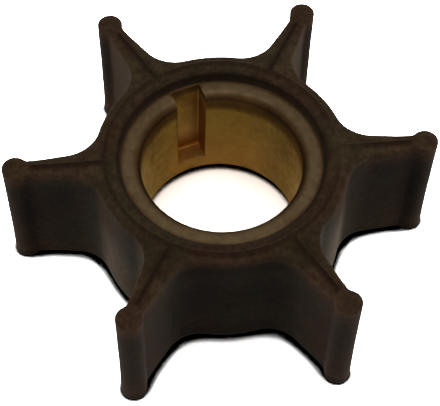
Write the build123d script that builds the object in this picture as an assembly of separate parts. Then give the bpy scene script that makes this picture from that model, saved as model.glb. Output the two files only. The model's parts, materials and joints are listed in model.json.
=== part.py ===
from build123d import *
import math
import os

# Pump impeller: six straight rubber vanes moulded on a keyed brass hub bush.
# Millimetres, +Z up. The bore's axis is the Z axis, and the plane that the
# vanes' lower sealing ridges stand on is z = 0.

# Brass bush
bore_radius = 11.15
bush_wall = 3.45
bush_recess = 1.5               # bush ends lie this far inside the vane ends
bore_mouth_rounding = 1.2
bore_foot_chamfer = 0.3

# Blind keyway, open at the upper end
key_width = 4.3
key_back = 1.0                  # metal left behind the keyway's floor
key_ledge = 2.7                 # metal left under the keyway
key_angle = 107.5               # degrees from +X, towards +Y

# Rubber hub around the bush
rubber_wall = 2.9
lip_cover = 0.75                # how far the rubber reaches over the bush's rims
lip_step = 0.55                 # upright edge of the lip, above the bush
lip_slope_width = 0.75          # the lip then slopes up to the hub's end face

# Vanes
vane_count = 6
vane_height = 20.0              # sealing ridge to sealing ridge
vane_reach = 10.7               # from the hub to the centre of the tip bead
vane_tip_thickness = 2.0
vane_root_thickness = 4.5
bead_radius = 1.8
bead_chamfer = 0.2
bead_blend = 1.2                # upright fillet between bead and vane
root_fillet = 5.2               # upright fillet between vane and hub
edge_chamfer = 0.3              # long upper and lower edges of vanes and hub

# Sealing ridges on both end faces: a ring round the bush, and one along each vane
ridge_height = 0.2
ridge_width = 1.1
ridge_chamfer = 0.15
ring_ridge_inset = 1.45         # from the hub's wall to the ring's middle

# Places that follow from the sizes above
bush_radius = bore_radius + bush_wall
bush_length = vane_height - 2 * bush_recess
lip_radius = bush_radius - lip_cover
hub_radius = bush_radius + rubber_wall
ring_ridge_radius = hub_radius - ring_ridge_inset
bead_centre_radius = hub_radius + vane_reach
body_height = vane_height - 2 * ridge_height
key_floor_radius = bush_radius - key_back
key_length = bush_length - key_ledge


def flank_thickness(radius):
    """Thickness of a vane at a radius: straight taper from root to bead."""
    share = (radius - hub_radius) / vane_reach
    return vane_root_thickness + share * (vane_tip_thickness - vane_root_thickness)


def vane_outline():
    """Plan of one vane along +X, from inside the hub to the centre of its bead."""
    root_width = flank_thickness(lip_radius)
    corners = [
        (lip_radius, -root_width / 2),
        (bead_centre_radius, -vane_tip_thickness / 2),
        (bead_centre_radius, vane_tip_thickness / 2),
        (lip_radius, root_width / 2),
    ]
    with BuildSketch() as vane:
        with BuildLine():
            Polyline(*corners, close=True)
        make_face()
    return vane.sketch


def corners_by_radius(sketch):
    """Corners of a plan, from the nearest to the axis to the furthest."""
    return sketch.vertices().sort_by(lambda corner: math.hypot(corner.X, corner.Y))


def star_outline():
    """Plan of hub, vanes and beads, with fillets at every root and behind every bead."""
    root_count = 2 * vane_count
    with BuildSketch() as star:
        Circle(hub_radius)
        with PolarLocations(0, vane_count):
            add(vane_outline())
        with PolarLocations(bead_centre_radius, vane_count):
            Circle(bead_radius)
        fillet(corners_by_radius(star)[root_count:2 * root_count], radius=bead_blend)
        fillet(corners_by_radius(star)[:root_count], radius=root_fillet)
    return star.sketch


def break_end_edges(solid, length):
    """Chamfers every edge in a solid's lowest and highest planes."""
    levels = solid.edges().group_by(Axis.Z)
    return chamfer(levels[0] + levels[-1], length=length)


def vane_body():
    """Hub and vanes, up to the foot of the sealing ridges at each end."""
    body = extrude(Plane.XY.offset(ridge_height) * star_outline(), amount=body_height)
    return break_end_edges(body, edge_chamfer)


def sealing_ridges():
    """Ridges of both end faces, as one upright web that the vane body covers."""
    with BuildSketch() as plan:
        Circle(ring_ridge_radius + ridge_width / 2)
        with PolarLocations(0, vane_count):
            Rectangle(bead_centre_radius, ridge_width, align=(Align.MIN, Align.CENTER))
        Circle(ring_ridge_radius - ridge_width / 2, mode=Mode.SUBTRACT)
    return break_end_edges(extrude(plan.sketch, amount=vane_height), ridge_chamfer)


def tip_beads():
    """Full-height round beads that wipe the housing, one on every vane's tip."""
    bead = Cylinder(bead_radius, vane_height, align=(Align.CENTER, Align.CENTER, Align.MIN))
    bead = break_end_edges(bead, bead_chamfer)
    return [place * bead for place in PolarLocations(bead_centre_radius, vane_count)]


def bush_seat():
    """Space for the bush, opening at both ends through a lip that slopes outwards."""
    bush_end = bush_length / 2
    body_end = body_height / 2
    corners = [
        (0, 0),
        (bush_radius, 0),
        (bush_radius, bush_end),
        (lip_radius, bush_end),
        (lip_radius, bush_end + lip_step),
        (lip_radius + lip_slope_width, body_end),
        (0, body_end),
    ]
    with BuildSketch(Plane.XZ) as section:
        with BuildLine():
            Polyline(*corners, close=True)
        make_face()
    upper = revolve(section.sketch, axis=Axis.Z)
    return Pos(0, 0, vane_height / 2) * (upper + mirror(upper, about=Plane.XY))


def make_vane_rubber():
    """The moulding: hub, vanes, sealing ridges and tip beads in one piece."""
    rubber = vane_body() - bush_seat() + sealing_ridges()
    for bead in tip_beads():
        rubber += bead
    return rubber


def make_hub_bush():
    """Turned bush with a rounded bore mouth and one blind keyway."""
    section = Rectangle(bush_wall, bush_length, align=(Align.MIN, Align.MIN))
    inner = section.vertices().group_by(Axis.X)[0].sort_by(Axis.Y)
    section = chamfer(inner[0], length=bore_foot_chamfer)
    inner = section.vertices().group_by(Axis.X)[0].sort_by(Axis.Y)
    section = fillet(inner[-1], radius=bore_mouth_rounding)
    bush = revolve(Plane.XZ * Pos(bore_radius, bush_recess) * section, axis=Axis.Z)
    slot = Box(key_floor_radius, key_width, key_length, align=(Align.MIN, Align.CENTER, Align.MAX))
    return bush - Pos(0, 0, bush_recess + bush_length) * Rot(0, 0, key_angle) * slot


def main():
    os.makedirs("parts", exist_ok=True)
    nodes = {
        "vane_rubber": make_vane_rubber(),
        "hub_bush": make_hub_bush(),
    }
    for name, solid in nodes.items():
        export_step(solid, f"parts/{name}.step")


main()
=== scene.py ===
import json
import math

import bmesh
import bpy
import numpy as np
from bpy.props import FloatProperty, FloatVectorProperty, IntProperty, PointerProperty
from mathutils import Matrix, Vector


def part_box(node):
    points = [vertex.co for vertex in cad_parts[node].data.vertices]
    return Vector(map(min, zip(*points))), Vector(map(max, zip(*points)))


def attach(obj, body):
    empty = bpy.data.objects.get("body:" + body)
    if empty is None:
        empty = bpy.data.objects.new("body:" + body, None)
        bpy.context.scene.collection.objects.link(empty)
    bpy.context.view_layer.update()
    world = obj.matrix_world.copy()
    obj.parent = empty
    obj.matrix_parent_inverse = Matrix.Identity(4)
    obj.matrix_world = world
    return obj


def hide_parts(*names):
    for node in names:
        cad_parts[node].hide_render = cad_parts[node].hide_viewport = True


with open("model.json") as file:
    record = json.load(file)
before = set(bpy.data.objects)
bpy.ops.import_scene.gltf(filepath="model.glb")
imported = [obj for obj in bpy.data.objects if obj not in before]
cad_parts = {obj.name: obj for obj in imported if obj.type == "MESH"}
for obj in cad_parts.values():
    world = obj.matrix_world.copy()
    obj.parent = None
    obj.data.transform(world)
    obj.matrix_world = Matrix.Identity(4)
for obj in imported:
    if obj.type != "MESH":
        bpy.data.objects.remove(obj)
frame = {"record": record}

bl_info = {
    "name": "Pump impeller",
    "version": (1, 0, 0),
    "blender": (4, 5, 0),
    "location": "3D View > Sidebar > Impeller",
    "description": "Moulded rubber vanes on a keyed brass bush, around a packed CAD frame",
    "category": "Object",
}

BODY = "root"
MM = 0.001
WELD = 2e-7                       # points closer than this are one point
FLOOR_HALF = 1.5                  # metres from the floor's middle to its sides
WORLD_STRENGTH = 0.15
WAVE_LENGTH = 6.0 * MM            # of the moulding's slow unevenness
WAVE_SEED = 11
DISH_DEPTH = 0.12 * MM            # how far a bead's end is dished
RIM_BREAK = 0.1 * MM              # broken outer rims of the bush
CREASE = 0.12 * MM                # from the keyway's ledge to the row of points that keeps it crisp
FLOOR_DOUBLINGS = 3               # the camera sees the floor 2 ** 3 times as bright as it lights

# Steps of the moulding: along half a sector's outline, then across its sections
HUB_STEPS, FILLET_STEPS, FLANK_STEPS, BLEND_STEPS, BEAD_STEPS = 11, 20, 16, 7, 13
LIP_FILLET_STEPS = 7              # steps of the root fillet whose sections still end at the lip
CLIMB_POINTS, TURN_POINTS, ACROSS_POINTS, FALL_POINTS = 12, 8, 31, 11

# Steps of the bush: round the bore and the keyway, then down its sections
CIRCLE_POINTS, KEY_SIDE_POINTS, KEY_CORNER_POINTS, KEY_FLOOR_POINTS = 150, 9, 4, 9
FACE_POINTS, MOUTH_POINTS, WALL_POINTS = 9, 11, 18

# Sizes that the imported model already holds
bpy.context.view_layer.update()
RUBBER_LOW, RUBBER_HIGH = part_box("vane_rubber")
BUSH_LOW, BUSH_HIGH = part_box("hub_bush")
BORE_RADIUS = next(
    mount["dims"]["r_mm"] * MM for mount in frame["record"]["mounts"] if mount["name"] == "bore"
)


def length_property(name, description, millimetres):
    """A length in metres whose default is given in millimetres."""
    return FloatProperty(
        name=name, description=description, default=millimetres * MM, precision=5,
        unit="LENGTH", subtype="DISTANCE",
    )


def angle_property(name, description, degrees):
    """An angle in radians whose default is given in degrees."""
    return FloatProperty(
        name=name, description=description, default=math.radians(degrees), subtype="ANGLE"
    )


def colour_property(name, description, colour):
    """A linear colour."""
    return FloatVectorProperty(
        name=name, description=description, default=colour,
        size=3, min=0.0, max=1.0, subtype="COLOR",
    )


class RubberSettings(bpy.types.PropertyGroup):
    """Sizes and colours of the moulding."""

    vane_count: IntProperty(
        name="Vanes", description="Number of vanes round the hub", default=6, min=3
    )
    hub_radius: length_property("Hub radius", "Radius of the rubber hub's outer wall", 17.5)
    root_thickness: length_property(
        "Vane thickness at root", "Thickness where the straight flank meets the hub", 4.5
    )
    tip_thickness: length_property("Vane thickness at tip", "Thickness just behind the bead", 2.0)
    root_fillet: length_property(
        "Root fillet", "Radius of the upright fillet between vane and hub", 5.2
    )
    bead_radius: length_property("Bead radius", "Radius of the round bead on a vane's tip", 1.8)
    bead_blend: length_property("Bead blend", "Radius of the upright fillet behind the bead", 1.2)
    ridge_height: length_property(
        "Ridge height", "How far the sealing ridges stand above the end face", 0.2
    )
    ridge_crest: length_property("Ridge crest", "Half width of a sealing ridge's level crest", 0.2)
    ridge_side: length_property(
        "Ridge side", "Width over which a ridge's side falls to the end face", 0.42
    )
    ring_inset: length_property(
        "Ring ridge inset", "From the hub's wall to the middle of the ring ridge", 1.45
    )
    edge_rounding: length_property(
        "Edge rounding", "Radius of the rounded upper and lower edges", 0.55
    )
    bead_rounding: length_property("Bead rounding", "Radius of the rounded rims of a bead", 0.25)
    lip_radius: length_property("Lip radius", "Radius of the lip's edge over the bush", 13.85)
    lip_rounding: length_property(
        "Lip rounding", "Radius of the round that rises from the bush to the end face", 1.3
    )
    sink_depth: length_property(
        "Sink depth", "How far the cooled rubber has sunk in the middle of a wall", 0.1
    )
    unevenness: length_property("Unevenness", "Greatest depth of the moulding's slow waves", 0.03)
    # Painted shade: the dark colour laid in the middle of the walls.
    wall_shade_colour: colour_property(
        "Deep rubber", "Clean rubber in the middle of the walls", (0.0089, 0.0090, 0.0074)
    )
    warm_colour: colour_property(
        "Warm rubber", "Browner rubber along the walls' borders", (0.0250, 0.0160, 0.0096)
    )
    # Dust, also the painted highlight on the shoulders and rounded edges.
    dust_and_highlight_colour: colour_property(
        "Dust", "Pale bloom on shoulders and rounded edges", (0.0390, 0.0275, 0.0150)
    )
    # Painted reflection of the lit floor on the hub's side walls, and painted floor light low on
    # the walls.
    painted_light_colour: colour_property(
        "Bloom", "Greyish bloom on the hub's side walls", (0.088, 0.074, 0.056)
    )
    # Darker rubber on the ridge crests; half of it is the painted shade in the corners.
    dark_crest_colour: colour_property(
        "Rubbed rubber", "Dark ridge crests, rubbed clean", (0.0115, 0.0070, 0.0044)
    )


class BrassSettings(bpy.types.PropertyGroup):
    """Sizes and colours of the bush."""

    mouth_rounding: length_property(
        "Mouth rounding", "Radius of the rounded upper mouth of the bore", 1.2
    )
    foot_chamfer: length_property("Foot chamfer", "Chamfer at the bore's lower end", 0.3)
    key_width: length_property("Keyway width", "Width of the keyway", 4.3)
    key_back: length_property(
        "Metal behind keyway", "Wall left between the keyway's floor and the rubber", 1.0
    )
    key_ledge: length_property("Ledge", "Metal left under the keyway", 2.7)
    key_angle: angle_property("Keyway angle", "Direction of the keyway from +X", 107.5)
    edge_break: length_property("Edge break", "Broken edge along the keyway's upright edges", 0.12)
    face_colour: colour_property("End face", "Dull brass of the end faces", (0.074, 0.050, 0.025))
    bore_colour: colour_property("Bore", "Golden brass of the bore", (0.147, 0.086, 0.017))
    # Painted reflection: brighter brass low in the bore, for the lit floor that it mirrors.
    floor_reflection_colour: colour_property(
        "Lower bore", "Brighter brass low in the bore", (0.200, 0.092, 0.021)
    )
    # Painted highlight on the keyway's ledge.
    ledge_highlight_colour: colour_property(
        "Ledge", "Bright brass of the keyway's ledge", (0.56, 0.30, 0.085)
    )
    # Darker brown laid under the rim, round the mouth and at the edges.
    dark_brown_colour: colour_property(
        "Stain", "Dark brown stain below the rim and at the edges", (0.05, 0.024, 0.009)
    )


class StageSettings(bpy.types.PropertyGroup):
    """Floor colour and camera."""

    camera_azimuth: angle_property("Camera azimuth", "Turn of the view from +Y", 6.5159)
    camera_elevation: angle_property("Camera elevation", "Height of the view", 56.4244)
    camera_roll: angle_property("Camera roll", "Tilt of the picture", -1.4976)
    camera_distance: length_property("Camera distance", "From the lens to the aim plane", 207.52)
    aim_right: length_property("Aim right", "Sideways place of the object in the view", -0.028)
    aim_up: length_property("Aim up", "Upward place of the object in the view", -4.329)
    lens: FloatProperty(name="Lens", description="Focal length", default=114.44, unit="CAMERA")
    floor_colour: colour_property("Floor", "Pale floor", (0.86, 0.86, 0.86))


def settings():
    """The scene's three groups of settings."""
    scene = bpy.context.scene
    return scene.impeller_rubber, scene.impeller_brass, scene.impeller_stage


# Mesh helpers


def grid_faces(rows, columns, offset=0, wrap=False):
    """Quads of a grid of points stored row by row: each cell (i, j) takes its own corner and the
    next in both directions, and with wrap the last row joins the first."""
    last = rows if wrap else rows - 1
    row, column = np.meshgrid(np.arange(last), np.arange(columns - 1), indexing="ij")
    below = (row + 1) % rows
    corners = [
        row * columns + column,
        row * columns + column + 1,
        below * columns + column + 1,
        below * columns + column,
    ]
    return np.stack(corners, axis=-1).reshape(-1, 4) + offset


def closed_piece(name, grids, roughen):
    """One mesh object from several grids of points: doubles are merged, faces turned outwards, and
    every point then moved by roughen(points, normals)."""
    points, faces, start = [], [], 0
    for grid, wrap in grids:
        rows, columns = grid.shape[:2]
        points.append(grid.reshape(-1, 3))
        faces.append(grid_faces(rows, columns, start, wrap))
        start += rows * columns
    mesh = bpy.data.meshes.new(name)
    mesh.from_pydata(np.concatenate(points).tolist(), [], np.concatenate(faces).tolist())
    work = bmesh.new()
    work.from_mesh(mesh)
    bmesh.ops.remove_doubles(work, verts=work.verts, dist=WELD)
    bmesh.ops.dissolve_degenerate(work, edges=work.edges, dist=WELD)
    bmesh.ops.recalc_face_normals(work, faces=work.faces)
    open_edges = sum(1 for edge in work.edges if len(edge.link_faces) != 2)
    work.to_mesh(mesh)
    work.free()
    if open_edges:
        raise RuntimeError(f"{name} has {open_edges} open edges")
    places, normals = read_points(mesh)
    places = places + roughen(places, normals)
    mesh.vertices.foreach_set("co", places.astype(np.float32).ravel())
    mesh.polygons.foreach_set("use_smooth", np.ones(len(mesh.polygons), bool))
    mesh.update()
    piece = bpy.data.objects.new(name, mesh)
    bpy.context.scene.collection.objects.link(piece)
    return piece, places


def read_points(mesh):
    """Places and normals of a mesh's points as two arrays."""
    places = np.empty(len(mesh.vertices) * 3, np.float32)
    normals = np.empty(len(mesh.vertices) * 3, np.float32)
    mesh.vertices.foreach_get("co", places)
    mesh.vertex_normals.foreach_get("vector", normals)
    return places.reshape(-1, 3).astype(float), normals.reshape(-1, 3).astype(float)


def write_attribute(piece, name, values):
    """Stores one number per point, for the piece's material."""
    attribute = piece.data.attributes.new(name, "FLOAT", "POINT")
    attribute.data.foreach_set("value", np.clip(values, 0.0, 1.0).astype(np.float32))


def smooth_step(value, start, end):
    """0 before start, 1 after end, and 3t^2 - 2t^3 between them."""
    share = np.clip((value - start) / (end - start), 0.0, 1.0)
    return share * share * (3.0 - 2.0 * share)


def fade(value, start, end):
    """The smooth step of a length, from a start to an end in millimetres."""
    return smooth_step(value, start * MM, end * MM)


def bell(value, centre, width):
    """A bell exp(-(d / width)^2) of a length's distance d from a centre in millimetres."""
    return np.exp(-(((value - centre * MM) / (width * MM)) ** 2))


def waves(points, length, seed, count=7):
    """Slow unevenness from 0 to 1: the mean of sines along seeded directions, of about one wave
    length."""
    draw = np.random.default_rng(seed)
    directions = draw.normal(size=(count, 3))
    directions /= np.linalg.norm(directions, axis=1, keepdims=True)
    rates = 2.0 * math.pi / (length * draw.uniform(0.6, 1.6, count))
    phases = draw.uniform(0.0, 2.0 * math.pi, count)
    swing = 0.8                       # a mean of sines seldom nears 1, so half of 1.6 spreads it
    return 0.5 + swing * np.sin(points @ (directions.T * rates) + phases).mean(axis=1)


# Rubber moulding


def arc(centre, radius, start, end, count, closed=False):
    """Points centre + radius (cos a, sin a), for a running evenly from start to end."""
    angles = np.linspace(start, end, count + 1)[: count + 1 if closed else count]
    directions = np.stack([np.cos(angles), np.sin(angles)], axis=-1)
    return centre + radius * directions, directions


def half_sector(rubber, bead_centre):
    """Outline of half a sector, from mid-gap to the vane's tip on +X, as places, outward normals
    and inner ends. Five runs meet tangentially: the hub's circle, a fillet circle that touches it
    and the flank's line, the line itself, a small circle that touches the line and the bead, and
    the bead's circle. The inner end of each cross-section slides along the lip's outer circle, then
    along the vane's axis, and stays at the bead's centre."""
    hub, fillet, blend = rubber.hub_radius, rubber.root_fillet, rubber.bead_blend
    root = np.array([hub, rubber.root_thickness / 2])
    tip = np.array([bead_centre[0], rubber.tip_thickness / 2])
    along = (tip - root) / np.linalg.norm(tip - root)
    out = np.array([-along[1], along[0]])

    start = root + fillet * out
    reach = -start @ along + math.sqrt((start @ along) ** 2 - start @ start + (hub + fillet) ** 2)
    fillet_centre = start + reach * along
    start = root + blend * out - bead_centre
    touch = rubber.bead_radius + blend
    reach = -start @ along - math.sqrt((start @ along) ** 2 - start @ start + touch ** 2)
    blend_centre = start + reach * along + bead_centre

    half_gap = math.pi / rubber.vane_count
    hub_angle = math.atan2(fillet_centre[1], fillet_centre[0])
    flank_angle = math.atan2(-out[1], -out[0]) + 2 * math.pi
    bead_angle = math.atan2(*(blend_centre - bead_centre)[::-1])

    hub_run, hub_out = arc(np.zeros(2), hub, half_gap, hub_angle, HUB_STEPS)
    fillet_run, fillet_in = arc(
        fillet_centre, fillet, hub_angle + math.pi, flank_angle, FILLET_STEPS
    )
    shares = np.linspace(0.0, 1.0, FLANK_STEPS + 1)[:-1, None]
    flank_start = fillet_centre - fillet * out
    flank_end = blend_centre - blend * out
    flank_run = flank_start + shares * (flank_end - flank_start)
    blend_run, blend_in = arc(
        blend_centre, blend, flank_angle, bead_angle + math.pi, BLEND_STEPS
    )
    bead_run, bead_out = arc(
        bead_centre, rubber.bead_radius, bead_angle, 0.0, BEAD_STEPS, closed=True
    )

    places = np.concatenate([hub_run, fillet_run, flank_run, blend_run, bead_run])
    flank_out = np.tile(out, (len(flank_run), 1))
    normals = np.concatenate([hub_out, -fillet_in, flank_out, -blend_in, bead_out])

    split = HUB_STEPS + LIP_FILLET_STEPS
    axis_start = len(hub_run) + len(fillet_run)
    axis_end = axis_start + len(flank_run) + len(blend_run)
    lip_angles = np.linspace(half_gap, 0.0, split + 1)
    inner_radius = rubber.lip_radius + rubber.lip_rounding
    lip = inner_radius * np.stack([np.cos(lip_angles), np.sin(lip_angles)], axis=-1)
    axis = places[:, 0].copy()
    rise = np.linspace(0.0, 1.0, axis_start - split + 1)
    axis[split:axis_start + 1] = inner_radius + rise * (flank_start[0] - inner_radius)
    beyond = np.linspace(0.0, 1.0, axis_end - axis_start + 1)
    axis[axis_start:axis_end + 1] = flank_start[0] + beyond * (bead_centre[0] - flank_start[0])
    axis[axis_end:] = bead_centre[0]
    ends = np.stack([axis, np.zeros_like(axis)], axis=-1)
    ends[:split + 1] = lip
    return places, normals, ends, split


def end_face_height(rubber, places, bead_centre, top):
    """Height of the upper end face over a place (x, y) of the sector on +X: the shoulder, plus
    ridges that fall away as a smooth step of the distance from their middle lines, plus the bead's
    slightly dished disc."""
    x, y = places[..., 0], np.abs(places[..., 1])
    radius = np.hypot(x, y)
    ring = rubber.hub_radius - rubber.ring_inset
    from_ring = np.abs(radius - ring)
    from_axis = np.hypot(np.minimum(x - ring, 0.0), y)
    soft = 0.08 * MM                  # blends the two ridges where they join
    nearest = -np.log(np.exp(-from_ring / soft) + np.exp(-from_axis / soft)) * soft
    ridge = 1.0 - smooth_step(nearest, rubber.ridge_crest, rubber.ridge_crest + rubber.ridge_side)
    from_bead = np.hypot(x - bead_centre[0], y)
    disc_start = rubber.bead_radius - rubber.bead_rounding
    disc = 1.0 - smooth_step(from_bead, disc_start, rubber.bead_radius + 0.15 * MM)
    raised = 1.0 - (1.0 - ridge) * (1.0 - disc)
    dish = DISH_DEPTH * (1.0 - smooth_step(from_bead, 0.0, rubber.bead_radius * 0.75))
    return top - rubber.ridge_height * (1.0 - raised) - dish


def rubber_grids(rubber):
    """Points of the whole moulding. Each cross-section climbs the wall from mid-height, turns in
    over a quarter circle, and follows the end face to its inner end. Where that is the lip's outer
    circle, it goes on down the lip's quarter round to the bush, under the lip and down the seat to
    mid-height. The half sector is mirrored in the vane's axis and in the mid-plane, and turned
    round the bore's axis."""
    middle = (RUBBER_LOW.z + RUBBER_HIGH.z) / 2
    top = RUBBER_HIGH.z
    bead_centre = np.array([RUBBER_HIGH.x - rubber.bead_radius, 0.0])
    places, normals, ends, split = half_sector(rubber, bead_centre)
    near_bead = smooth_step(places[:, 0], bead_centre[0] - 4.0 * MM, bead_centre[0] - 1.2 * MM)
    rounding = rubber.edge_rounding + (rubber.bead_rounding - rubber.edge_rounding) * near_bead
    inner_edge = places - normals * rounding[:, None]
    shoulder = end_face_height(rubber, inner_edge, bead_centre, top)

    climb = np.linspace(0.0, 1.0, CLIMB_POINTS)[None, :]
    wall_height = middle + (shoulder - rounding - middle)[:, None] * climb
    from_bead = np.hypot(places[:, 0] - bead_centre[0], places[:, 1])
    near_bead = 1.0 - fade(from_bead, 0.0, 3.2)
    sunk = rubber.sink_depth * (1.0 - near_bead)[:, None] * (1.0 - smooth_step(climb, 0.25, 1.0))
    wall_plan = places[:, None] - normals[:, None] * sunk[..., None]
    wall = np.concatenate([wall_plan, wall_height[..., None]], axis=-1)

    turn = np.linspace(0.0, math.pi / 2, TURN_POINTS)[1:]
    inset = rounding[:, None] * (1.0 - np.cos(turn))
    round_plan = places[:, None] - normals[:, None] * inset[..., None]
    round_height = (shoulder - rounding)[:, None] + rounding[:, None] * np.sin(turn)
    rounded = np.concatenate([round_plan, round_height[..., None]], axis=-1)

    across = np.linspace(0.0, 1.0, ACROSS_POINTS)[1:, None]
    face_plan = inner_edge[:, None] + across * (ends - inner_edge)[:, None]
    face_height = end_face_height(rubber, face_plan, bead_centre, top)
    face = np.concatenate([face_plan, face_height[..., None]], axis=-1)
    outer = np.concatenate([wall, rounded, face], axis=1)

    round_radius = rubber.lip_rounding
    directions = ends[:split + 1] / (rubber.lip_radius + round_radius)
    lip_height = face_height[:split + 1, -1]
    seat = BUSH_HIGH.x
    fall = np.linspace(0.0, math.pi / 2, FALL_POINTS)
    radii = np.concatenate([
        rubber.lip_radius + round_radius * (1.0 - np.sin(fall)),
        np.linspace(rubber.lip_radius, seat, 4)[1:], np.full(6, seat),
    ])
    lip_rows = BUSH_HIGH.z + (lip_height[:, None] - BUSH_HIGH.z) * np.cos(fall)
    under = np.full((split + 1, 3), BUSH_HIGH.z)
    seat_rows = np.tile(np.linspace(BUSH_HIGH.z, middle, 7)[1:], (split + 1, 1))
    heights = np.concatenate([lip_rows, under, seat_rows], axis=1)
    plan = directions[:, None] * radii[None, :, None]
    inner = np.concatenate([plan, heights[..., None]], axis=-1)

    grids = []
    for grid in (outer, inner):
        halves = [grid, grid * np.array([1.0, -1.0, 1.0])]
        rise = np.array([0.0, 0.0, 2 * middle])
        halves += [half * np.array([1.0, 1.0, -1.0]) + rise for half in halves]
        for step in range(rubber.vane_count):
            angle = 2 * math.pi * step / rubber.vane_count
            turned = np.array([[math.cos(angle), math.sin(angle), 0.0],
                               [-math.sin(angle), math.cos(angle), 0.0],
                               [0.0, 0.0, 1.0]])
            grids += [(half @ turned, False) for half in halves]
    return grids, bead_centre, middle


def sector_places(points, vane_count):
    """Plan places folded into the one sector on +X: the angle is taken from the nearest vane's
    axis."""
    radius = np.hypot(points[:, 0], points[:, 1])
    pitch = 2 * math.pi / vane_count
    angle = np.arctan2(points[:, 1], points[:, 0])
    angle = np.abs(angle - np.round(angle / pitch) * pitch)
    return np.stack([radius * np.cos(angle), radius * np.sin(angle)], axis=-1)


class RubberPlaces:
    """Where each point of the moulding lies, as the distances and directions that its finish
    follows."""

    def __init__(self, points, normals, rubber, bead_centre, middle):
        plan = sector_places(points, rubber.vane_count)
        ring = rubber.hub_radius - rubber.ring_inset
        self.x, self.y, self.height = points.T
        self.beside = np.abs(self.x)
        self.faces_side = np.abs(normals[:, 0])
        self.radius = np.hypot(plan[:, 0], plan[:, 1])
        self.past_hub = self.radius - rubber.hub_radius
        self.past_lip = self.radius - rubber.lip_radius
        self.from_end = (RUBBER_HIGH.z - middle) - np.abs(self.height - middle)
        self.from_ring = np.abs(self.radius - ring)
        self.from_axis = np.hypot(np.minimum(plan[:, 0] - ring, 0.0), plan[:, 1])
        self.from_ridge = np.minimum(self.from_ring, self.from_axis)
        self.from_bead = np.hypot(plan[:, 0] - bead_centre[0], plan[:, 1])
        self.past_bead = self.from_bead - rubber.bead_radius

        self.on_bead = 1.0 - fade(self.past_bead, 0.0, 0.5)
        self.on_end = 1.0 - fade(self.from_end, 0.5, 0.9)
        self.on_side = smooth_step(self.faces_side, 0.7, 0.93) * fade(self.beside, 9.5, 12.5)
        self.hub_wall = 1.0 - fade(self.past_hub, 0.3, 3.0)
        self.by_right_vane = bell(self.y, 0.0, 4.5) * fade(self.x, 12.0, 14.5)
        self.by_right_vane *= 1.0 - fade(self.x, 17.5, 21.0)


def dark_crest_share(at):
    """Darker ridge crests, and a little of the beads' discs. The ring is darkened less than the
    vanes' ridges, and least by the right vane."""
    on_ring = 1.0 - fade(at.from_ring - at.from_axis, -0.3, 0.3)
    crest = bell(at.from_ridge, 0.0, 0.5) * at.on_end * (1.0 - at.on_bead) * (1.0 - 0.25 * on_ring)
    disc = 0.2 * (1.0 - fade(at.from_bead, 0.6, 1.3)) * (1.0 - fade(at.from_end, 0.1, 0.4))
    return np.maximum(crest, disc) * (1.0 - 0.65 * at.by_right_vane)


def dust_and_highlight_share(at):
    """Dust on the end faces, with a painted highlight: thicker beside the ridges and along the
    rounded edges, where it paints the light that they catch. The hub's left and right and the
    place by the right vane have more, the hub's front has less, and the back vanes' sides have
    some, as painted light."""
    beside_ridge = bell(at.from_ridge, 1.5, 0.8) * at.on_end
    rounded_edge = bell(at.from_end, 0.5, 0.6) + 0.5 * bell(at.from_end, 1.4, 1.1)
    hub_sides = fade(at.beside, 8.0, 14.0) * (at.past_hub < 2.0 * MM) * at.on_end
    hub_sides *= 0.8 + 0.2 * np.sign(at.x)
    dust_and_highlight = 0.35 * at.on_end + 0.65 * np.maximum(beside_ridge, rounded_edge) + 0.8 * hub_sides
    hub_front = fade(-at.y, 8.0, 15.0) * (at.past_hub < 4.0 * MM)
    dust_and_highlight *= 1.0 - 0.4 * hub_front
    front_edge = fade(at.beside, 6.0, 12.0) * fade(-at.y, 0.0, 4.0)
    front_edge *= fade(at.radius, 16.2, 17.2) * (at.past_hub < 3.5 * MM)
    dust_and_highlight *= 1.0 - 0.7 * front_edge
    dust_and_highlight += 0.35 * at.by_right_vane * at.on_end
    back_sides = smooth_step(at.faces_side, 0.6, 0.85) * fade(at.y, 6.0, 12.0)
    return np.maximum(dust_and_highlight, 0.55 * back_sides * (1.0 - at.on_bead))


def wall_shade_share(at):
    """Painted shade: darker rubber in the middle of the walls, standing in for the shade there.
    It fades near the end faces, as painted light on the walls' upper edges, and at the roots and
    just behind the beads; it fades low down, as painted light from the floor, and on walls that
    face left or right, as painted light from the side lamps; and it is kept in a band high on the
    hub's walls, painted shade under the edge."""
    upper = fade(at.from_end, 0.4, 3.8 - 2.2 * at.hub_wall)
    wall_shade = upper * (0.85 + 0.15 * fade(at.past_bead, 0.5, 2.6))
    wall_shade *= 1.0 - 0.65 * (1.0 - fade(at.height, 1.0, 13.0))
    wall_shade *= 1.0 - 0.3 * bell(at.past_hub, 2.8, 1.3)
    wall_shade *= 1.0 - 0.25 * bell(at.past_bead, 1.7, 0.8)
    wall_shade = np.maximum(wall_shade, 0.8 * at.hub_wall * bell(at.from_end, 2.6, 1.4))
    wall_shade *= 1.0 - 0.65 * smooth_step(at.faces_side, 0.7, 0.9) * (1.0 - at.on_bead)
    return wall_shade * (at.past_lip > 1.0 * MM)


def painted_light_share(at):
    """Painted reflection and light: greyish, low on the hub's left and right walls, where they
    mirror the lit floor, more on the right, and a trace low on all walls, painted light thrown up
    from the floor."""
    at_root = 1.0 - fade(at.past_hub, 2.5, 6.0)
    low_down = 1.0 - fade(at.height, 6.0, 16.5)
    side_walls = at.on_side * at_root * low_down * (0.8 + 0.2 * np.sign(at.x))
    low_walls = (0.03 + 0.12 * at.hub_wall) * (1.0 - fade(at.height, 1.0, 11.0))
    low_walls *= fade(at.from_end, 0.8, 2.0)
    return np.maximum(side_walls, low_walls) * (at.past_lip > 1.0 * MM)


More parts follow.
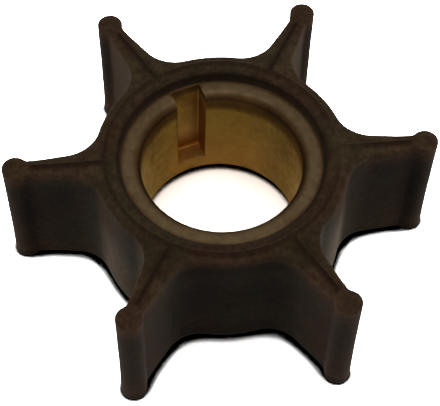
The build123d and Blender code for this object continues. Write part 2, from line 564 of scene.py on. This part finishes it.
def painted_shade_share(at):
    """Painted shade in corners: where the lip meets the bush, a trace behind the beads, high on
    the hub's walls, and along the foot of all walls, a painted contact shadow."""
    lip_corner = bell(at.past_lip, 0.35, 0.42)
    lip_slope = 0.35 * bell(at.past_lip, 0.9, 0.6)
    behind_bead = 0.15 * bell(at.past_bead, 0.5, 0.45)
    under_edge = at.hub_wall * bell(at.from_end, 2.2, 1.3) * (1.0 - at.on_side)
    under_edge *= at.past_hub > -0.3 * MM
    foot = (1.0 - fade(at.height, 0.5, 2.2)) * (at.past_hub > -1.0 * MM)
    return np.maximum.reduce([lip_corner, lip_slope, behind_bead, under_edge, foot])


def rubber_masks(piece, points, rubber, bead_centre, middle):
    """Stores the shares, 0 to 1, that the rubber's material reads at each point."""
    at = RubberPlaces(points, read_points(piece.data)[1], rubber, bead_centre, middle)
    write_attribute(piece, "dark_crest", dark_crest_share(at))
    write_attribute(piece, "dust_and_highlight", dust_and_highlight_share(at))
    write_attribute(piece, "wall_shade", wall_shade_share(at))
    write_attribute(piece, "painted_light", painted_light_share(at))
    write_attribute(piece, "tip", fade(at.radius, 20.0, 26.5))
    # Painted shade in the corners.
    write_attribute(piece, "corner", painted_shade_share(at))


# Brass bush


def keyway_loop(brass):
    """Plan of the bore with its keyway, as one closed loop, and the plain circle at the same
    directions. Bore circle, a broken edge, side wall, inner corner, flat floor, and the same back
    to the circle."""
    half = brass.key_width / 2
    floor = BUSH_HIGH.x - brass.key_back
    mouth_angle = math.asin(half / BORE_RADIUS)
    edge = brass.edge_break
    side_start = math.sqrt(BORE_RADIUS**2 - half**2)
    circle_angles = np.linspace(
        mouth_angle + edge / BORE_RADIUS, 2 * math.pi - mouth_angle - edge / BORE_RADIUS,
        CIRCLE_POINTS,
    )
    circle = BORE_RADIUS * np.stack([np.cos(circle_angles), np.sin(circle_angles)], axis=-1)
    side = np.linspace(side_start + edge, floor - edge, KEY_SIDE_POINTS)
    corner = np.linspace(0.0, math.pi / 2, KEY_CORNER_POINTS)
    low_corner = np.stack([
        floor - edge + edge * np.sin(corner), -half + edge - edge * np.cos(corner)
    ], axis=-1)
    across = np.linspace(-half + edge, half - edge, KEY_FLOOR_POINTS)[1:-1]
    low_side = np.stack([side, np.full_like(side, -half)], axis=-1)
    floor_run = np.stack([np.full_like(across, floor), across], axis=-1)
    mirrored = np.array([1.0, -1.0])
    high_corner, high_side = (low_corner * mirrored)[::-1], (low_side[:-1] * mirrored)[::-1]
    loop = np.concatenate([low_side[:-1], low_corner, floor_run, high_corner, high_side, circle])
    plain = BORE_RADIUS * loop / np.linalg.norm(loop, axis=1, keepdims=True)
    turn = np.array([[math.cos(brass.key_angle), math.sin(brass.key_angle)],
                     [-math.sin(brass.key_angle), math.cos(brass.key_angle)]])
    return loop @ turn, plain @ turn


def bush_grid(brass):
    """Closed cross-sections carried round the bore. Each runs in over the upper end face, round the
    bore's mouth, where height = top - m + sqrt(m^2 - (radius - bore - m)^2), down the bore or
    keyway, out over the ledge, down the plain bore, over the foot's chamfer and the lower end face,
    and up the outer wall."""
    keyed, plain = keyway_loop(brass)
    low, top, outer = BUSH_LOW.z, BUSH_HIGH.z, BUSH_HIGH.x
    mouth = brass.mouth_rounding
    ledge = low + brass.key_ledge
    directions = plain / BORE_RADIUS
    keyed_radius = np.linalg.norm(keyed, axis=1)[:, None]
    face_end = np.maximum(keyed_radius, BORE_RADIUS + mouth)

    share = np.linspace(0.0, 1.0, FACE_POINTS)[None, :]
    face_radius = outer - RIM_BREAK + share * (face_end - outer + RIM_BREAK)
    face_height = np.full_like(face_radius, top)
    sink = np.clip(BORE_RADIUS + mouth - keyed_radius, 0.0, mouth)
    last_turn = np.arcsin(np.clip(sink / mouth, 0.0, 1.0))
    turn = last_turn * np.linspace(0.0, 1.0, MOUTH_POINTS)[None, 1:]
    mouth_radius = face_end - mouth * np.sin(turn)
    mouth_height = top - mouth + mouth * np.cos(turn)
    wall_share = np.append(np.linspace(0.0, 1.0, WALL_POINTS)[1:-1], (0.99, 1.0))[None]
    wall_radius = np.tile(keyed_radius, wall_share.shape)
    wall_height = mouth_height[:, -1:] + wall_share * (ledge - mouth_height[:, -1:])
    ledge_share = np.array([[0.04, 0.25, 0.5, 0.75, 0.96, 1.0]])
    ledge_radius = keyed_radius + ledge_share * (BORE_RADIUS - keyed_radius)
    ledge_height = np.full_like(ledge_radius, ledge)
    foot = brass.foot_chamfer
    tail_radius = np.array([
        BORE_RADIUS, BORE_RADIUS, BORE_RADIUS, BORE_RADIUS, BORE_RADIUS + foot,
        (BORE_RADIUS + outer) / 2, outer - RIM_BREAK, outer, outer, outer, outer - RIM_BREAK,
    ])
    tail_height = np.array([
        ledge - CREASE, (ledge + low) / 2 + foot / 2, low + foot * 1.4, low + foot, low,
        low, low, low + RIM_BREAK, (low + top) / 2, top - RIM_BREAK, top,
    ])
    count = len(directions)
    radii = np.concatenate([
        face_radius, mouth_radius, wall_radius, ledge_radius, np.tile(tail_radius, (count, 1))
    ], axis=1)
    heights = np.concatenate([
        face_height, mouth_height, wall_height, ledge_height, np.tile(tail_height, (count, 1))
    ], axis=1)
    return np.concatenate([directions[:, None] * radii[..., None], heights[..., None]], axis=-1)


class BushPlaces:
    """Where each point of the bush lies, as the distances that its finish follows."""

    def __init__(self, points, brass):
        self.radius = np.hypot(points[:, 0], points[:, 1])
        self.beside = np.abs(points[:, 0])
        self.height = points[:, 2]
        self.above_foot = self.height - BUSH_LOW.z
        self.below_top = BUSH_HIGH.z - self.height
        self.past_bore = self.radius - BORE_RADIUS
        self.in_mouth = self.past_bore < brass.mouth_rounding
        self.inside = fade(self.below_top, 0.9, 1.5) * (self.above_foot > 0.05 * MM)
        self.inside *= self.radius < BUSH_HIGH.x - 0.5 * MM
        self.side = fade(self.beside, 4.0, 10.0)
        self.left = fade(-points[:, 0], 0.0, 4.0)

        angle = np.arctan2(points[:, 1], points[:, 0]) - brass.key_angle
        past_wall = np.abs(self.radius * np.sin(angle)) - brass.key_width / 2
        ahead = np.cos(angle) > 0
        self.in_key = ahead & (past_wall < 0.02 * MM) & (self.past_bore > 0.05 * MM)
        self.on_wall = self.in_key & (past_wall > -0.08 * MM)
        self.on_ledge = self.in_key & (self.above_foot < brass.key_ledge + 0.3 * MM)
        self.above_ledge = self.above_foot > brass.key_ledge + 0.02 * MM
        self.behind_key = ahead & (past_wall < 0.3 * MM) & (self.past_bore > 1.5 * MM)


def darkening_share(at):
    """Darker brown: a band under the bore's rim and one round its mouth, the outer rim of the end
    face, the bore's foot, the keyway's upper part and walls, the end face behind the keyway, and
    the bore's sides."""
    below_rim = fade(at.below_top, 0.1, 1.6) * at.in_mouth * (1.0 - fade(at.below_top, 1.9, 4.6))
    mouth_band = 0.95 * bell(at.past_bore, 0.2, 0.5) * (1.0 - fade(at.below_top, 1.0, 1.5))
    rim = smooth_step(at.radius, BORE_RADIUS + 1.7 * MM, BUSH_HIGH.x - 0.4 * MM)
    foot = 0.5 * (1.0 - fade(at.above_foot, 0.2, 1.3)) * (at.above_foot > 0.0)
    key_mouth = 0.9 * (1.0 - fade(at.below_top, 1.2, 2.0))
    return np.maximum.reduce([
        below_rim * (1.0 - 0.7 * at.in_key),
        mouth_band,
        rim * (at.below_top < 0.3 * MM),
        foot,
        at.in_key * np.maximum(key_mouth, 0.5 * fade(at.height, 11.0, 16.5)),
        0.1 * at.on_wall * at.above_ledge,
        at.behind_key * (1.0 - fade(at.below_top, 1.0, 2.0)),
        (0.45 - 0.12 * at.left) * at.side * at.in_mouth * ~at.in_key,
    ])


def bush_masks(piece, points, brass):
    """Stores the shares, 0 to 1, that the brass's material reads at each point: golden bore, warmer
    brass low in the bore as a painted reflection of the lit floor, a painted highlight in the
    keyway, darker brown, and dark shade at the mouth's left and right."""
    at = BushPlaces(points, brass)
    # Painted reflection of the lit floor: warmer brass low in the bore, in the keyway and on its
    # ledge.
    lower = 1.0 - smooth_step(at.height, BUSH_LOW.z + 2.0 * MM, BUSH_HIGH.z - 3.0 * MM)
    low = np.maximum.reduce([lower, 0.3 * at.in_key, at.on_ledge])
    # Painted highlight: brighter metal on the keyway's ledge and walls and in a band of its floor.
    key_floor = 0.26 * at.in_key * bell(at.height, 7.2, 3.0)
    key_highlight = np.maximum.reduce([at.on_ledge, 0.55 * at.on_wall, key_floor])
    mouth = bell(at.past_bore, 0.2, 0.6) * (1.0 - fade(at.below_top, 1.6, 3.2))
    write_attribute(piece, "bore", at.inside * (1.0 - (0.78 + 0.08 * at.left) * at.side))
    write_attribute(piece, "low", at.inside * low)
    write_attribute(piece, "key_highlight", at.inside * key_highlight)
    write_attribute(piece, "darkening", darkening_share(at))
    write_attribute(piece, "shade", mouth * fade(at.beside, 4.5, 8.0) * ~at.in_key)


# Materials


class Shader:
    """Builds a node material with short calls."""

    def __init__(self, name):
        self.material = bpy.data.materials.new(name)
        self.material.use_nodes = True
        self.nodes = self.material.node_tree.nodes
        self.links = self.material.node_tree.links
        self.nodes.clear()
        self.output = self.nodes.new("ShaderNodeOutputMaterial")
        self.place = self.nodes.new("ShaderNodeTexCoord").outputs["Object"]

    def node(self, kind, out=0, settings=None, **inputs):
        """A node with its settings and inputs set; an input is a number, a colour or another node's
        output."""
        made = self.nodes.new(kind)
        for key, value in (settings or {}).items():
            setattr(made, key, value)
        for key, value in inputs.items():
            numbered = key[0] == "i" and key[1:].isdigit()
            socket = made.inputs[int(key[1:]) if numbered else key.replace("_", " ")]
            if isinstance(value, bpy.types.NodeSocket):
                self.links.new(value, socket)
            else:
                socket.default_value = value
        return made.outputs[out]

    def noise(self, scale, detail=3.0, roughness=0.6, place=None):
        """Cloud noise, 0 to 1, with scale in clouds a metre."""
        return self.node(
            "ShaderNodeTexNoise", Vector=place or self.place,
            Scale=scale, Detail=detail, Roughness=roughness,
        )

    def attribute(self, name):
        """A number stored on the piece's points."""
        return self.node("ShaderNodeAttribute", out=2, settings={"attribute_name": name})

    def remap(self, value, low, high, to_low=0.0, to_high=1.0):
        """Value from low to high, carried smoothly to to_low to to_high."""
        return self.node(
            "ShaderNodeMapRange", settings={"interpolation_type": "SMOOTHSTEP"},
            Value=value, From_Min=low, From_Max=high, To_Min=to_low, To_Max=to_high,
        )

    def math(self, operation, first, second=0.0):
        """One step of arithmetic."""
        return self.node("ShaderNodeMath", settings={"operation": operation}, i0=first, i1=second)

    def blend(self, share, first, second, kind="MIX"):
        """A colour between two colours."""
        return self.node(
            "ShaderNodeMix", out=2, settings={"data_type": "RGBA", "blend_type": kind},
            i0=share, i6=self.colour(first), i7=self.colour(second),
        )

    def multiply(self, first, second):
        """Two colours multiplied."""
        return self.blend(1.0, first, second, "MULTIPLY")

    def colour(self, value):
        """A colour with its alpha, or another node's output as it is."""
        return value if isinstance(value, bpy.types.NodeSocket) else (*value, 1.0)

    def attribute_share(self, name, noise, low, high, to_low, to_high):
        """A stored number, thinned out by a noise that is carried from low-high to
        to_low-to_high."""
        thinned = self.remap(noise, low, high, to_low, to_high)
        return self.math("MULTIPLY", self.attribute(name), thinned)

    def bumps(self, height, strength, distance, normal=None):
        """A bumped normal from a height of 0 to 1."""
        inputs = {"Height": height, "Strength": strength, "Distance": distance}
        if normal is not None:
            inputs["Normal"] = normal
        return self.node("ShaderNodeBump", **inputs)

    def finish(self, **inputs):
        """A Principled surface with those inputs, wired to the output."""
        surface = self.node("ShaderNodeBsdfPrincipled", **inputs)
        self.links.new(surface, self.output.inputs["Surface"])
        return self.material


def shaded(colour, share):
    """A colour times a share."""
    return tuple(share * part for part in colour)


def rubber_material(rubber):
    """Moulded rubber: cloudy brown, with painted shade in the middle of the walls, dust and a
    painted highlight on the shoulders and rounded edges, darker ridge crests, painted shade in the
    corners, and painted reflection and light on the hub's walls. A slow shift of hue and a fine
    grain lie over all."""
    make = Shader("moulded_rubber")
    clouds = make.noise(190.0, 3.0, 0.55)
    mottle = make.noise(720.0, 4.0, 0.62)
    grain = make.noise(2600.0, 3.0, 0.6)
    cloud_share = make.remap(clouds, 0.3, 0.7)
    colour = make.blend(cloud_share, shaded(rubber.warm_colour, 0.82), rubber.warm_colour)
    layers = [
        # Painted shade in the middle of the walls.
        (make.attribute_share("wall_shade", clouds, 0.25, 0.65, 1.0, 0.7), rubber.wall_shade_colour),
        # Dust, with the painted highlight of the rounded edges.
        (make.attribute_share("dust_and_highlight", mottle, 0.22, 0.72, 0.45, 1.0), rubber.dust_and_highlight_colour),
        # Darker ridge crests.
        (make.attribute_share("dark_crest", mottle, 0.2, 0.6, 0.75, 1.0), rubber.dark_crest_colour),
        # Painted shade in the corners.
        (make.math("MULTIPLY", make.attribute("corner"), 0.9), shaded(rubber.dark_crest_colour, 0.5)),
        # Painted reflection and painted light from the floor.
        (make.attribute_share("painted_light", mottle, 0.25, 0.7, 0.55, 0.85), rubber.painted_light_colour),
        (make.math("MULTIPLY", make.remap(grain, 0.62, 0.78), 0.22), rubber.dust_and_highlight_colour),
    ]
    for share, layer in layers:
        colour = make.blend(share, colour, layer)

    hue_clouds = make.remap(make.noise(130.0, 2.0, 0.5), 0.38, 0.62)
    less_at_tips = make.remap(make.attribute("tip"), 0.0, 1.0, 1.0, 0.15)
    neutral_share = make.math("MULTIPLY", hue_clouds, less_at_tips)
    reddish, neutral = (1.11, 0.89, 0.90), (1.01, 0.995, 0.92)
    tinted = make.multiply(colour, make.blend(neutral_share, reddish, neutral))
    coarse_tone = make.remap(mottle, 0.25, 0.75, 0.86, 1.18)
    fine_tone = make.remap(make.noise(1700.0, 3.0, 0.6), 0.25, 0.75, 0.78, 1.26)
    tone = make.math("MULTIPLY", coarse_tone, fine_tone)
    toned = make.multiply(tinted, make.node("ShaderNodeCombineXYZ", X=tone, Y=tone, Z=tone))

    roughness = make.remap(mottle, 0.2, 0.8, 0.5, 0.66)
    relief = make.bumps(grain, 0.5, 0.03 * MM, make.bumps(mottle, 0.6, 0.06 * MM))
    return make.finish(**{
        "Base Color": toned, "Roughness": roughness, "Normal": relief,
        "Specular IOR Level": 0.007, "Specular Tint": (1.0, 0.86, 0.7, 1.0),
        "Sheen Weight": 0.052, "Sheen Roughness": 0.5, "Sheen Tint": (1.0, 0.84, 0.64, 1.0),
    })


def brass_material(brass):
    """Turned brass: dull on the end faces, golden in the bore with a painted reflection low down, a
    painted highlight in the keyway, darker brown in places, dark shade at the mouth's sides, with
    fine turning marks."""
    make = Shader("turned_brass")
    clouds = make.noise(230.0, 4.0, 0.6)
    fine = make.noise(900.0, 4.0, 0.65)
    x = make.node("ShaderNodeSeparateXYZ", Vector=make.place)
    y, z = x.node.outputs["Y"], x.node.outputs["Z"]
    squares = make.math("ADD", make.math("MULTIPLY", x, x), make.math("MULTIPLY", y, y))
    section_place = make.node("ShaderNodeCombineXYZ", X=make.math("SQRT", squares), Y=z, Z=0.0)
    turning = make.noise(5200.0, 2.0, 0.5, section_place)

    # Painted reflection of the lit floor low in the bore.
    warm = make.blend(make.attribute("low"), brass.bore_colour, brass.floor_reflection_colour)
    # Painted highlight in the keyway.
    key_highlight = make.blend(make.attribute("key_highlight"), warm, brass.ledge_highlight_colour)
    golden = make.blend(make.remap(clouds, 0.3, 0.7, 0.0, 0.25), key_highlight, brass.dark_brown_colour)
    dull = make.blend(
        make.remap(fine, 0.3, 0.75), brass.face_colour, shaded(brass.face_colour, 0.7)
    )
    body = make.blend(make.attribute("bore"), dull, golden)
    patches = make.math(
        "ADD", make.attribute("darkening"), make.remap(clouds, 0.35, 0.75, -0.16, 0.16)
    )
    darkening = make.remap(patches, 0.12, 0.95)
    darkened = make.blend(darkening, body, brass.dark_brown_colour)
    colour = make.blend(make.attribute("shade"), darkened, shaded(brass.dark_brown_colour, 0.3))

    fine_roughness = make.remap(fine, 0.2, 0.8, 0.36, 0.5)
    roughness = make.math("ADD", fine_roughness, make.math("MULTIPLY", darkening, 0.15))
    relief = make.bumps(turning, 0.35, 0.012 * MM, make.bumps(fine, 0.4, 0.02 * MM))
    return make.finish(**{
        "Base Color": colour, "Metallic": 0.8, "Roughness": roughness, "Normal": relief,
        "Specular IOR Level": 0.1, "Specular Tint": (1.0, 0.7, 0.35, 1.0),
    })


def floor_material(colour):
    """Pale matt floor. The camera sees it brighter than it lights the object, so that it is white
    where lit and keeps the shadow, which deepens to black at the contact, less so inside the bore,
    where the bush stands clear of the floor. Reflections see it as white."""
    make = Shader("pale_floor")
    matt = make.node("ShaderNodeBsdfDiffuse", Color=(*colour, 1.0), Roughness=0.0)
    openness = make.node(
        "ShaderNodeAmbientOcclusion", out=1, settings={"samples": 16},
        Color=(1.0, 1.0, 1.0, 1.0), Distance=2.6 * MM,
    )
    from_axis = make.node(
        "ShaderNodeVectorMath", out=1, settings={"operation": "LENGTH"}, i0=make.place
    )
    inside_bore = make.remap(from_axis, 13.0 * MM, 11.0 * MM, 0.0, 0.14)
    lightness = make.remap(make.math("ADD", openness, inside_bore), 0.62, 0.78)
    tone = make.blend(lightness, (0.0, 0.0, 0.0), colour)
    seen = make.node("ShaderNodeBsdfDiffuse", Color=tone, Roughness=0.0)
    for _ in range(FLOOR_DOUBLINGS):
        seen = make.node("ShaderNodeAddShader", i0=seen, i1=seen)
    white = make.node("ShaderNodeEmission", Color=(1.0, 1.0, 1.0, 1.0), Strength=1.0)
    path = make.nodes.new("ShaderNodeLightPath").outputs
    mirrored = make.math("MAXIMUM", path["Is Glossy Ray"], path["Is Transmission Ray"])
    lit = make.node("ShaderNodeMixShader", i0=mirrored, i1=matt, i2=white)
    mixed = make.node("ShaderNodeMixShader", i0=path["Is Camera Ray"], i1=lit, i2=seen)
    make.links.new(mixed, make.output.inputs["Surface"])
    return make.material


def dress(piece, material, node):
    """Gives a piece its material, puts it on the part's one body and lets it stand for its CAD
    node."""
    piece.data.materials.append(material)
    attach(piece, BODY)
    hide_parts(node)


# Operators


class IMPELLER_OT_vane_rubber(bpy.types.Operator):
    """Builds the rubber moulding: hub, six vanes, beads, lips and sealing ridges"""

    bl_idname = "impeller.vane_rubber"
    bl_label = "Build vane rubber"

    def execute(self, context):
        rubber = settings()[0]
        grids, bead_centre, middle = rubber_grids(rubber)

        def roughen(points, normals):
            slow = waves(points, WAVE_LENGTH, WAVE_SEED)
            depth = rubber.unevenness * np.clip(slow, 0.0, 1.0)
            free = np.hypot(points[:, 0], points[:, 1]) > rubber.lip_radius - 0.02 * MM
            seated = np.abs(points[:, 2] - middle) < BUSH_HIGH.z - middle + 0.05 * MM
            seated &= np.hypot(points[:, 0], points[:, 1]) < BUSH_HIGH.x + 0.05 * MM
            return -normals * (depth * free * ~seated)[:, None]

        piece, points = closed_piece("vane_rubber_moulding", grids, roughen)
        rubber_masks(piece, points, rubber, bead_centre, middle)
        dress(piece, rubber_material(rubber), "vane_rubber")
        return {"FINISHED"}


class IMPELLER_OT_hub_bush(bpy.types.Operator):
    """Builds the turned brass bush with its rounded mouth and blind keyway"""

    bl_idname = "impeller.hub_bush"
    bl_label = "Build hub bush"

    def execute(self, context):
        brass = settings()[1]

        def roughen(points, normals):
            return np.zeros_like(points)

        piece, points = closed_piece("hub_bush_turned", [(bush_grid(brass), True)], roughen)
        bush_masks(piece, points, brass)
        dress(piece, brass_material(brass), "hub_bush")
        return {"FINISHED"}


class IMPELLER_OT_stage(bpy.types.Operator):
    """Sets the pale floor, the soft lamps, the white surroundings and the camera"""

    bl_idname = "impeller.stage"
    bl_label = "Set the stage"

    def execute(self, context):
        stage = settings()[2]
        lay_floor(stage)
        light_world()
        light_object()
        place_camera(stage)
        context.scene.view_settings.view_transform = "Standard"
        return {"FINISHED"}


def lay_floor(stage):
    """A level sheet under the vanes' lower ridges."""
    half = FLOOR_HALF
    mesh = bpy.data.meshes.new("floor")
    corners = [(-half, -half, 0.0), (half, -half, 0.0), (half, half, 0.0), (-half, half, 0.0)]
    mesh.from_pydata(corners, [], [(0, 1, 2, 3)])
    floor = bpy.data.objects.new("floor", mesh)
    bpy.context.scene.collection.objects.link(floor)
    mesh.materials.append(floor_material(tuple(stage.floor_colour)))


def light_world():
    """Grey surroundings that light softly, and that the camera and reflections see as white."""
    world = bpy.data.worlds.new("soft_surroundings")
    world.use_nodes = True
    nodes, links = world.node_tree.nodes, world.node_tree.links
    nodes.clear()
    output = nodes.new("ShaderNodeOutputWorld")
    path = nodes.new("ShaderNodeLightPath").outputs
    dim, white = nodes.new("ShaderNodeBackground"), nodes.new("ShaderNodeBackground")
    for background in (dim, white):
        background.inputs["Color"].default_value = (1.0, 1.0, 1.0, 1.0)
    dim.inputs["Strength"].default_value = WORLD_STRENGTH
    mix = nodes.new("ShaderNodeMixShader")
    share = path["Is Camera Ray"]
    for kind in ("Is Glossy Ray", "Is Transmission Ray"):
        most = nodes.new("ShaderNodeMath")
        most.operation = "MAXIMUM"
        links.new(share, most.inputs[0])
        links.new(path[kind], most.inputs[1])
        share = most.outputs[0]
    links.new(share, mix.inputs[0])
    links.new(dim.outputs[0], mix.inputs[1])
    links.new(white.outputs[0], mix.inputs[2])
    links.new(mix.outputs[0], output.inputs["Surface"])
    bpy.context.scene.world = world


def light_object():
    """Soft boxes: one overhead towards the back, and one low at each side."""
    lamps = [
        ("overhead", (0.0, 0.06, 0.45), (0.4, 0.4), 1.1),
        ("left_side", (-0.4, -0.03, 0.16), (0.4, 0.28), 3.8),
        ("right_side", (0.4, -0.03, 0.16), (0.4, 0.28), 4.6),
    ]
    target = Vector((0.0, 0.0, 0.01))
    for name, place, size, brightness in lamps:
        data = bpy.data.lights.new(name, "AREA")
        data.shape = "RECTANGLE"
        data.size, data.size_y = size
        data.energy = brightness * math.pi * size[0] * size[1]
        lamp = bpy.data.objects.new(name, data)
        lamp.location = place
        lamp.rotation_euler = (target - Vector(place)).to_track_quat("-Z", "Y").to_euler()
        bpy.context.scene.collection.objects.link(lamp)


def place_camera(stage):
    """The camera looks along F = (sin a cos e, cos a cos e, -sin e), is turned by the roll, and
    stands back from the origin by the distance, so that the origin falls aim_right and aim_up from
    the picture's centre."""
    a, e, r = stage.camera_azimuth, stage.camera_elevation, stage.camera_roll
    forward = Vector((math.sin(a) * math.cos(e), math.cos(a) * math.cos(e), -math.sin(e)))
    level = Vector((math.cos(a), -math.sin(a), 0.0))
    upright = Vector((math.sin(a) * math.sin(e), math.cos(a) * math.sin(e), math.cos(e)))
    right = level * math.cos(r) - upright * math.sin(r)
    up = level * math.sin(r) + upright * math.cos(r)
    data = bpy.data.cameras.new("camera")
    data.sensor_width = 36.0
    data.lens = stage.lens
    data.clip_start, data.clip_end = 0.01, 20.0
    camera = bpy.data.objects.new("camera", data)
    place = -(right * stage.aim_right + up * stage.aim_up + forward * stage.camera_distance)
    turned = Matrix((right, up, -forward)).transposed().to_4x4()
    camera.matrix_world = Matrix.Translation(place) @ turned
    bpy.context.scene.collection.objects.link(camera)
    bpy.context.scene.camera = camera


class IMPELLER_PT_workshop(bpy.types.Panel):
    """Lists the impeller's steps and settings"""

    bl_label = "Pump impeller"
    bl_idname = "IMPELLER_PT_workshop"
    bl_space_type = "VIEW_3D"
    bl_region_type = "UI"
    bl_category = "Impeller"

    def draw(self, context):
        for step in STEPS:
            self.layout.operator(step.bl_idname)
        for group in settings():
            box = self.layout.box()
            for name in group.bl_rna.properties.keys():
                if name not in {"rna_type", "name"}:
                    box.prop(group, name)


GROUPS = (RubberSettings, BrassSettings, StageSettings)
STEPS = (IMPELLER_OT_vane_rubber, IMPELLER_OT_hub_bush, IMPELLER_OT_stage)
CLASSES = (*GROUPS, *STEPS, IMPELLER_PT_workshop)


def register():
    """Registers the classes and hangs the settings on the scene."""
    for item in CLASSES:
        bpy.utils.register_class(item)
    bpy.types.Scene.impeller_rubber = PointerProperty(type=RubberSettings)
    bpy.types.Scene.impeller_brass = PointerProperty(type=BrassSettings)
    bpy.types.Scene.impeller_stage = PointerProperty(type=StageSettings)


def unregister():
    """Takes away all that register added."""
    del bpy.types.Scene.impeller_stage
    del bpy.types.Scene.impeller_brass
    del bpy.types.Scene.impeller_rubber
    for item in reversed(CLASSES):
        bpy.utils.unregister_class(item)


def main():
    """Builds every piece and the stage."""
    register()
    bpy.ops.impeller.vane_rubber()
    bpy.ops.impeller.hub_bush()
    bpy.ops.impeller.stage()


if __name__ == "__main__":
    main()
